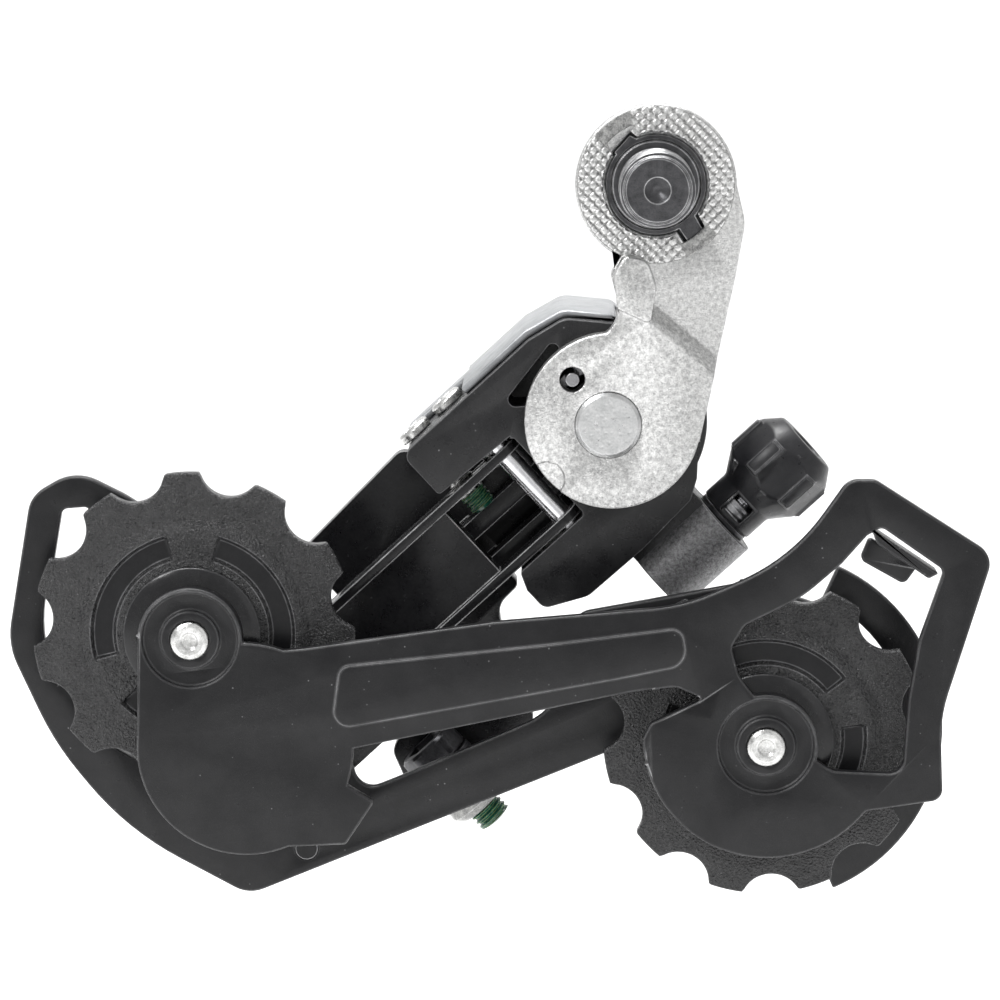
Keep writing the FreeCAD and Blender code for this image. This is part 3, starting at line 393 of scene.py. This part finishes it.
def softened(node, width_mm, clamp):
    """The node's own shape with its sharp edges rounded over, by less where clamped edges are close."""
    mesh = NODES[node].data.copy()
    piece = add_piece(node + "_rounded", mesh, node)
    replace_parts(piece, node)
    weld = piece.modifiers.new("weld", "WELD")
    weld.merge_threshold = 0.00001
    flat = piece.modifiers.new("flat", "DECIMATE")
    flat.decimate_type = "DISSOLVE"
    flat.angle_limit = math.radians(1.0)
    bevel = piece.modifiers.new("bevel", "BEVEL")
    bevel.width = width_mm * MM
    bevel.segments = 2
    bevel.limit_method = "ANGLE"
    bevel.angle_limit = math.radians(32)
    bevel.use_clamp_overlap = clamp


# ---- camera and light -----------------------------------------------------------------
ELEVATION = math.radians(9.5)
AZIMUTH = math.radians(1.0)
DISTANCE = 490 * MM
# How far the middle of the view lies from the frame's origin, to the right and up.
AIM_RIGHT = -20.66 * MM
AIM_UP = -41.72 * MM


def add_camera():
    """A long lens that looks slightly down on the side that faces the wheel."""
    look = Vector((-math.sin(AZIMUTH) * math.cos(ELEVATION), math.cos(AZIMUTH) * math.cos(ELEVATION),
                   -math.sin(ELEVATION)))
    right = Vector((math.cos(AZIMUTH), math.sin(AZIMUTH), 0))
    top = right.cross(look)
    data = bpy.data.cameras.new("camera")
    data.lens = 133.2
    data.sensor_width = 36.0
    data.clip_start = 0.01
    data.clip_end = 20
    camera = bpy.data.objects.new("camera", data)
    turn = Matrix((right, top, -look)).transposed().to_4x4()
    place = right * AIM_RIGHT + top * AIM_UP - look * DISTANCE
    camera.matrix_world = Matrix.Translation(place) @ turn
    bpy.context.scene.collection.objects.link(camera)
    bpy.context.scene.camera = camera


def add_light(name, place, size, power, target=(-0.02, 0, -0.05)):
    """A soft box that faces its target."""
    data = bpy.data.lights.new(name, "AREA")
    data.shape = "RECTANGLE"
    data.size = size[0]
    data.size_y = size[1]
    data.energy = power
    light = bpy.data.objects.new(name, data)
    aim = (Vector(target) - Vector(place)).to_track_quat("-Z", "Y")
    light.matrix_world = Matrix.Translation(place) @ aim.to_matrix().to_4x4()
    bpy.context.scene.collection.objects.link(light)


# The floor's distance below the part, which leaves room for the cage to swing down.
SWING_ROOM = 0.085
FLOOR_END = 1.2
CURVE = 0.6


def add_studio():
    """A pale floor that curves up into a wall, a bright surround and four soft boxes."""
    low = CAD_BOX[0].z - SWING_ROOM
    profile = [(-2.0, 0.0), (FLOOR_END, 0.0)]
    for degrees in range(6, 91, 6):
        turn = math.radians(degrees)
        profile.append((FLOOR_END + CURVE * math.sin(turn), CURVE - CURVE * math.cos(turn)))
    profile.append((FLOOR_END + CURVE, 2.4))
    points = [(x, y, low + z) for y, z in profile for x in (-3.0, 3.0)]
    faces = [(2 * i, 2 * i + 1, 2 * i + 3, 2 * i + 2) for i in range(len(profile) - 1)]
    mesh = bpy.data.meshes.new("floor")
    mesh.from_pydata(points, [], faces)
    floor = bpy.data.objects.new("floor", mesh)
    bpy.context.scene.collection.objects.link(floor)
    mesh.polygons.foreach_set("use_smooth", [True] * len(mesh.polygons))
    mesh.materials.append(finish(
        "floor_paper", (0.93, 0.93, 0.93), (0.96, 0.96, 0.96), metallic=0.0, rough=(0.8, 0.9),
        grain_mm=2.0, grain_depth=0.01, patch_mm=60.0, specular=0.1))
    world = bpy.data.worlds.new("studio")
    world.use_nodes = True
    background = world.node_tree.nodes["Background"]
    background.inputs["Color"].default_value = (1.0, 1.0, 1.0, 1.0)
    background.inputs["Strength"].default_value = 0.66
    bpy.context.scene.world = world
    add_light("key", (-0.55, -0.5, 0.6), (0.22, 0.22), 4.0)
    add_light("fill", (0.6, -0.7, 0.25), (0.5, 0.8), 0.6)
    add_light("top", (-0.1, 0.12, 0.7), (0.6, 0.18), 8.0)
    add_light("wall", (0.0, 0.5, 1.2), (1.5, 0.4), 9.0, (0, 1.7, 0.3))
    bpy.context.scene.view_settings.view_transform = "Standard"


# ---- pulleys --------------------------------------------------------------------------
TEETH = 11
TOOTH_TIP = 21.4
BORE = 3.65
RIM_START = 16.5
CHAIN_PITCH = 12.7
# The gap between two teeth is part of a circle centred just outside the pitch circle.
GAP_RADIUS = 4.05
GAP_REACH = CHAIN_PITCH / (2 * math.sin(math.pi / TEETH)) + 0.2


def tooth_outline(turn, phase):
    """The pulley's outer radius in mm at an angle, its tooth corners slightly rounded."""
    step = 2 * math.pi / TEETH
    away = (turn - phase) % step - step / 2
    across = GAP_REACH * math.sin(away)
    if abs(across) >= GAP_RADIUS:
        return TOOTH_TIP
    reach = GAP_REACH * math.cos(away) - math.sqrt(GAP_RADIUS ** 2 - across ** 2)
    corner = smooth_step(TOOTH_TIP - reach, 0.0, 0.5)
    return min(reach, TOOTH_TIP) - 0.12 * (1 - corner)


def pulley_height(reach, turn, phase):
    """Half the pulley's thickness in mm: hub, web with three sunk pads, a bevel and the teeth."""
    hub = 2.3 - 0.3 * smooth_step(reach, 9.2, 9.8)
    bevel = 0.85 * smooth_step(reach, 13.7, 15.9)
    tooth = 0.35 * smooth_step(reach, 17.0, 21.6)
    local = math.degrees(turn - phase) % 120
    ends = smooth_step(local, 10.0, 11.6) * (1 - smooth_step(local, 100.4, 102.0))
    pad = 0.6 * ends * smooth_step(reach, 10.1, 10.6) * (1 - smooth_step(reach, 13.1, 13.6))
    return hub - bevel - tooth - pad


def detailed_pulley(node, joint, phase_degrees):
    """The moulded pulley with soft edges, tapered teeth and sunk pads."""
    centre = joint_place(joint)
    phase = math.radians(phase_degrees)
    segments = 440
    inner = [BORE, 3.9, 6.5, 8.9, 9.2, 9.5, 9.8, 10.1, 10.35, 10.6, 12.0, 13.1, 13.35, 13.6,
             14.0, 14.4, 14.8, 15.2, 15.6, 16.0, RIM_START]
    outer = [0.25, 0.5, 0.75, 0.92]
    rim = [(0.22, 0.0), (0.07, 0.07), (0.0, 0.24)]
    rows = []
    for side in (1, -1):
        half = []
        for reach in inner:
            drop = 0.2 if reach == BORE else 0.0
            half.append([(reach, pulley_height(reach, turn, phase) - drop) for turn in turns(segments)])
        for part in outer:
            row = []
            for turn in turns(segments):
                reach = RIM_START + (tooth_outline(turn, phase) - rim[0][0] - RIM_START) * part
                row.append((reach, pulley_height(reach, turn, phase)))
            half.append(row)
        for inset, drop in rim:
            row = []
            for turn in turns(segments):
                reach = tooth_outline(turn, phase) - inset
                row.append((reach, pulley_height(reach, turn, phase) - drop))
            half.append(row)
        half = [[(reach, side * height) for reach, height in row] for row in half]
        rows += half if side == 1 else list(reversed(half))
    points = []
    for row in rows:
        for turn, (reach, height) in zip(turns(segments), row):
            points.append(centre + Vector((reach * math.cos(turn), height, reach * math.sin(turn))) * MM)
    faces = []
    for k in range(len(rows)):
        low = k * segments
        high = ((k + 1) % len(rows)) * segments
        for i in range(segments):
            j = (i + 1) % segments
            faces.append((low + i, low + j, high + j, high + i))
    mesh = bpy.data.meshes.new(node)
    mesh.from_pydata(points, [], faces)
    mesh.validate()
    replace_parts(add_piece(node + "_moulded", mesh, node, smooth=50), node)
    # The sunk pads have a smoother finish than the rest.
    mesh.materials.append(MATERIALS["pulley_pad"])
    for face in mesh.polygons:
        arm = (face.center - centre) / MM
        local = math.degrees(math.atan2(arm.z, arm.x) - phase) % 120
        if 10.5 < arm.xz.length < 13.2 and 11.0 < local < 101.0:
            face.material_index = 1


# ---- bracket detail -------------------------------------------------------------------
def seat_knurl():
    """The diamond knurl rolled into the bracket's seat ring, clear of its two notches."""
    segments = 540
    steps = 36
    inner = 7.0
    outer = 10.45
    pitch = 1.5
    points = []
    for k in range(steps + 1):
        for turn in turns(segments):
            degrees = math.degrees(turn)
            by_notch = max(notch_nearness(degrees, 126, 26), notch_nearness(degrees, 307, 24))
            start = inner + 1.5 * by_notch
            reach = start + (outer - start) * k / steps
            x = reach * math.cos(turn)
            z = reach * math.sin(turn)
            crossing = math.sin(math.pi * (x + z) / pitch) * math.sin(math.pi * (x - z) / pitch)
            ridge = min(1.0, 1.6 * abs(crossing))
            fade = smooth_step(k, 0, 2) * (1 - smooth_step(k, steps - 2, steps)) * (1 - by_notch * 0.7)
            points.append(Vector((x, -0.16 * ridge * fade - 0.005, z)) * MM)
    top = len(points)
    points += [Vector((p.x, 0.1 * MM, p.z)) for p in points]
    faces = []
    for k in range(steps):
        for i in range(segments):
            j = (i + 1) % segments
            a, b = k * segments + i, k * segments + j
            c, d = b + segments, a + segments
            faces.append((a, b, c, d))
            faces.append((top + d, top + c, top + b, top + a))
    for k, order in ((0, 1), (steps, -1)):
        for i in range(segments):
            j = (i + 1) % segments
            a, b = k * segments + i, k * segments + j
            faces.append((a, a + top, b + top, b)[::order])
    mesh = bpy.data.meshes.new("seat_knurl")
    mesh.from_pydata(points, [], faces)
    mesh.validate()
    add_piece("seat_knurl", mesh, "hanger_bracket", smooth=20)
    # The low places between the ridges get a darker colour: painted shade in the grooves.
    mesh.materials.append(MATERIALS["knurl_groove_painted_shade"])
    for face in mesh.polygons:
        heights = [-mesh.vertices[i].co.y / MM for i in face.vertices]
        if max(heights) < 0.09 and min(heights) > 0.0 and face.center.xz.length > 7.2 * MM:
            face.material_index = 1


def notch_nearness(degrees, middle, width):
    """1 within a notch of the seat ring and 0 well away from it."""
    away = abs((degrees - middle + 180) % 360 - 180)
    return 1 - smooth_step(away, width * 0.5, width * 0.75)


# ---- bolts and screws -----------------------------------------------------------------
def detailed_hanger_bolt():
    """M10 x 1 thread, dog point with a centre dimple, shoulder, flange and a 6 mm socket head."""
    rows = [(-8.1, 0.25), (-8.3, 0.7), (-9.0, 1.5), (-9.2, 1.75), (-9.2, 4.1), (-9.05, 4.35),
            (-8.75, 4.5)]
    rows += thread_rows(-8.6, -0.9, 5.0, 1.0, 0.5)
    rows += [(-0.8, 4.55), (0.2, 4.55), (0.25, 5.7), (0.4, 5.9), (3.3, 5.9), (3.32, 9.1), (3.55, 9.4),
             (4.25, 9.4), (4.5, 9.15), (4.52, 7.7), (4.7, 7.6), (7.9, 7.6), (8.4, 7.45), (8.75, 7.0),
             (8.8, 6.7), (8.8, 3.75)]
    rows += [(8.5, hexagon(6.4)), (8.2, hexagon(6.0)), (5.2, hexagon(6.0)), (5.0, hexagon(5.6)), (4.4, 0.3)]
    mesh = turned_mesh("hanger_bolt_threaded", Vector((0, 0, 0)), Y_DIR, rows, 144)
    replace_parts(add_piece("hanger_bolt_threaded", mesh, "hanger_bolt", smooth=28), "hanger_bolt")


def detailed_pulley_bolt(node, joint):
    """M5 bolt: dimpled point, thread through the inner plate, low socket head outboard."""
    centre = joint_place(joint)
    base = Vector((centre.x, 0, centre.z))
    low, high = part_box(node)
    tip = low.y / MM
    back = high.y / MM
    rows = [(tip + 0.35, 0.2), (tip + 0.3, 0.9), (tip + 0.02, 1.25), (tip, 1.5), (tip, 1.95),
            (tip + 0.12, 2.15)]
    rows += thread_rows(tip + 0.3, tip + 3.6, 2.5, 0.8, 0.36)
    rows += [(tip + 3.7, 2.49), (back - 2.0, 2.49), (back - 1.9, 4.1), (back - 1.75, 4.3), (back - 0.6, 4.3),
             (back - 0.15, 4.0), (back, 3.6), (back, 2.0)]
    rows += [(back - 0.2, hexagon(3.1)), (back - 1.6, hexagon(3.0)), (back - 1.7, hexagon(2.8)),
             (back - 2.0, 0.2)]
    mesh = turned_mesh(node + "_threaded", base, Y_DIR, rows)
    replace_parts(add_piece(node + "_threaded", mesh, node, smooth=28), node)


def detailed_limit_screw(node):
    """A cross-slotted screw along its own axis: head, thread and point."""
    joint = {"high_limit_screw": "high_screw_turn", "low_limit_screw": "low_screw_turn"}[node]
    axis = -Vector(JOINTS[joint]["axis"])
    place = joint_place(joint)
    low, high = span_along(node, place, axis)
    rows = [(low + 0.75, cross_slot(0.9, 0.18)), (low + 0.6, cross_slot(1.35, 0.3)),
            (low, cross_slot(1.5, 0.38)), (low, 2.0), (low + 0.12, 2.2), (low + 0.4, 2.4),
            (low + 1.2, 2.4), (low + 1.3, 2.3), (low + 1.32, 1.8)]
    rows += thread_rows(low + 1.5, high - 0.6, 1.9, 0.7, 0.3)
    rows += [(high - 0.5, 1.7), (high - 0.1, 1.35), (high, 1.2)]
    mesh = turned_mesh(node + "_slotted", place, axis, rows)
    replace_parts(add_piece(node + "_slotted", mesh, node, smooth=28), node)
    if node == "low_limit_screw":
        tip = [(high - 2.9, 1.6)] + thread_rows(high - 2.8, high - 0.55, 1.93, 0.7, 0.28)
        tip += [(high - 0.5, 1.72), (high - 0.1, 1.4), (high, 1.22)]
        coat = turned_mesh(node + "_coated_tip", place, axis, tip)
        add_piece(node + "_coated_tip", coat, node, "thread_lock", 28)


def span_along(node, place, axis):
    """How far a node reaches each way along an axis from a place, in mm."""
    reaches = [(vertex.co - place).dot(axis) / MM for vertex in NODES[node].data.vertices]
    return min(reaches), max(reaches)


def detailed_clamp():
    """The hexagonal clamp bolt with its coated thread, and the round nut with a stepped nose."""
    axis = -Vector(JOINTS["clamp_turn"]["axis"])
    place = joint_place("clamp_turn")
    low, high = span_along("clamp_bolt", place, axis)
    rows = [(low + 2.2, 0.3), (low + 2.0, hexagon(4.6)), (low + 0.3, hexagon(5.0)), (low, hexagon(5.4)),
            (low, 3.5), (low + 0.05, 3.9), (low + 0.5, hexagon(8.0, 4.35)), (low + 3.1, hexagon(8.0, 4.5)),
            (low + 3.45, hexagon(7.8, 4.2)), (low + 3.5, 2.45)]
    rows += thread_rows(low + 4.5, high - 3.6, 2.5, 0.8, 0.35)
    rows += [(high - 3.5, 2.2)]
    mesh = turned_mesh("clamp_bolt_hex", place, axis, rows)
    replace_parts(add_piece("clamp_bolt_hex", mesh, "clamp_bolt", "dark_washer", 28), "clamp_bolt")
    tip = [(high - 4.2, 2.1)] + thread_rows(high - 4.1, high - 0.3, 2.5, 0.8, 0.4)
    tip += [(high - 0.1, 2.0), (high, 1.6)]
    coat = turned_mesh("clamp_bolt_coated_thread", place, axis, tip)
    add_piece("clamp_bolt_coated_thread", coat, "clamp_bolt", "thread_lock", 28)
    low, high = span_along("clamp_nut", place, axis)
    rows = [(low, 2.56), (low, 4.2), (low + 0.2, 4.4), (high - 1.1, 4.4), (high - 0.9, 4.25),
            (high - 0.15, 3.5), (high, 3.3), (high, 2.7), (high - 0.2, 2.56)]
    nut = turned_tube("clamp_nut_turned", place, axis, rows)
    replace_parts(add_piece("clamp_nut_turned", nut, "clamp_nut", smooth=28), "clamp_nut")


def turned_tube(name, place, axis, rows, segments=96):
    """A ring about an axis: the rows go round its section and close on themselves."""
    mesh = turned_mesh(name, place, axis, rows, segments)
    data = [vertex.co.copy() for vertex in mesh.vertices]
    faces = [tuple(face.vertices) for face in mesh.polygons if len(face.vertices) == 4]
    last = (len(rows) - 1) * segments
    faces += [(last + i, last + (i + 1) % segments, (i + 1) % segments, i) for i in range(segments)]
    ring = bpy.data.meshes.new(name + "_ring")
    ring.from_pydata(data, [], faces)
    ring.validate()
    return ring


# Where the sleeve starts and stops, in mm from the adjuster joint's place, against its axis.
BARREL_START = -2.83
BARREL_STOP = 9.23
BARREL_RADIUS = 5.53


def detailed_adjuster():
    """The threaded stem, and the blasted sleeve round the knuckle's barrel."""
    axis = Vector(JOINTS["adjuster_turn"]["axis"])
    place = joint_place("adjuster_turn")
    low, high = span_along("adjuster_stud", place, axis)
    rows = [(low, 1.0), (low, 2.1)] + thread_rows(low + 0.1, low + 13.0, 2.5, 0.8, 0.35)
    rows += [(low + 13.2, 2.4), (low + 16.8, 2.45), (low + 16.9, 3.1), (high - 0.1, 3.1), (high - 0.1, 1.0)]
    stud = turned_tube("adjuster_stud_threaded", place, axis, rows)
    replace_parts(add_piece("adjuster_stud_threaded", stud, "adjuster_stud", smooth=28), "adjuster_stud")
    rows = [(BARREL_START, 4.9), (BARREL_START, 5.35), (BARREL_START + 0.2, BARREL_RADIUS),
            (BARREL_STOP - 0.2, BARREL_RADIUS), (BARREL_STOP, 5.35), (BARREL_STOP, 4.9)]
    barrel = turned_tube("blasted_barrel", place, -axis, rows, 128)
    add_piece("blasted_barrel", barrel, "b_knuckle_body", "blasted_barrel", 28)


# ---- edges ----------------------------------------------------------------------------
# The width in mm that each node's edges are rounded over.
SOFTENED = {"hanger_bracket": 0.22, "cage_inner_plate": 0.25, "cage_outer_plate": 0.25, "inner_link": 0.15,
            "outer_link": 0.25, "knuckle_cover": 0.25, "b_knuckle_body": 0.2, "p_knuckle_body": 0.2,
            "adjuster_knob": 0.3, "b_pivot_cap": 0.2, "p_cap": 0.2, "guide_cap_inner": 0.15,
            "guide_cap_outer": 0.15, "tension_cap_inner": 0.15, "tension_cap_outer": 0.15}
# Nodes whose edges lie so close together that the rounding has to be held back.
CROWDED = ("outer_link", "b_knuckle_body", "inner_link")


# ---- making ---------------------------------------------------------------------------
add_camera()
add_studio()
seat_knurl()
detailed_hanger_bolt()
detailed_clamp()
detailed_adjuster()
for screw in ("high_limit_screw", "low_limit_screw"):
    detailed_limit_screw(screw)
for node, width in SOFTENED.items():
    softened(node, width, node in CROWDED)
for wheel, phase_degrees in (("guide_pulley", 93.6), ("tension_pulley", 27.6)):
    detailed_pulley(wheel, wheel + "_spin", phase_degrees)
    detailed_pulley_bolt(wheel + "_bolt", wheel + "_spin")

for node, thing in NODES.items():
    for material_slot in thing.material_slots:
        material_slot.material = MATERIALS["dark_washer" if node in DARK_WASHERS else SLOT_OF[node]]
